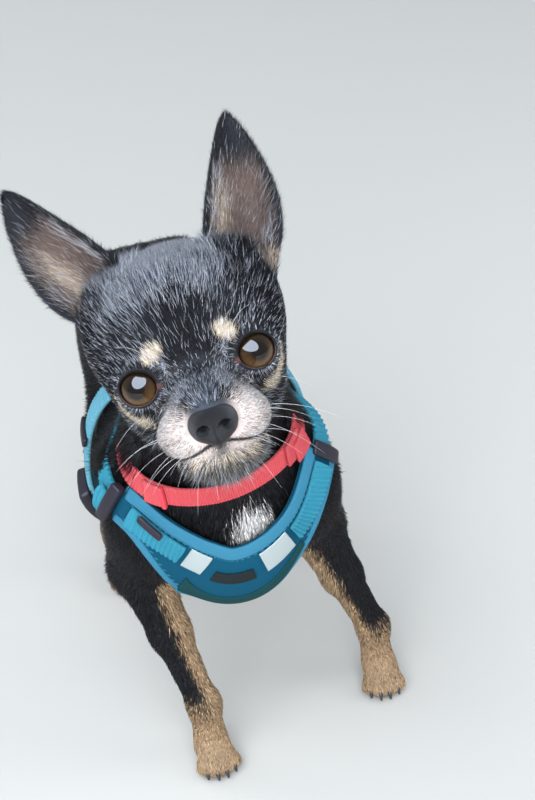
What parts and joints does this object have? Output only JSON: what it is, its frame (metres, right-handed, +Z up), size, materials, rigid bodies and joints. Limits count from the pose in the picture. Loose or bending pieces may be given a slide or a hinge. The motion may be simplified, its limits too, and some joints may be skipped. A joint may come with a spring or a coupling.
{
  "type": "chihuahua",
  "caption": "Smooth-coated black-and-tan chihuahua standing with its head turned up and tilted, in a coral webbing collar and a teal padded chest harness.",
  "frame": {"origin": "on the floor, under the middle of the animal's bounding box", "axes": "+Z up from the floor; the dog faces -Y, so +Y runs to its tail and +X is the dog's own left"},
  "size_m": [0.1468, 0.3386, 0.3288],
  "materials": {
    "coat": "short black hair with grey tips",
    "tan_coat": "short tan hair",
    "nose": "moist, finely pebbled",
    "eye": "wet and clear",
    "claw": "worn horn",
    "collar_web": "ribbed nylon webbing",
    "collar_plastic": "moulded",
    "harness_mesh": "padded air mesh",
    "harness_web": "ribbed webbing",
    "binding": "smooth folded tape",
    "plastic": "moulded",
    "reflective": "silver-grey reflective tape",
    "label": "plain moulded bar, blank",
    "steel": "nickel-plated wire"
  },
  "bodies": {
    "root": {"chest_plate": "harness_mesh", "collar": "collar_web", "collar_buckle": "collar_plastic", "collar_slide": "collar_plastic", "ear_left": "coat", "ear_right": "coat", "eye_left": "eye", "eye_right": "eye", "foreleg_left": "coat", "foreleg_right": "coat", "forepaw_left": "tan_coat", "forepaw_right": "tan_coat", "girth_buckle": "plastic", "girth_strap": "harness_web", "harness_ring": "steel", "head": "coat", "hindleg_left": "coat", "hindleg_right": "coat", "hindpaw_left": "tan_coat", "hindpaw_right": "tan_coat", "label": "label", "neck": "coat", "neck_strap_left": "harness_web", "neck_strap_right": "harness_web", "nose": "nose", "plate_web_left": "harness_web", "plate_web_right": "harness_web", "reflector_left": "reflective", "reflector_right": "reflective", "slider_left": "plastic", "slider_low": "plastic", "slider_right": "plastic", "sternum_strap": "harness_mesh", "tail": "coat", "torso": "coat", "withers_pad": "harness_mesh"}
  },
  "joints": []
}
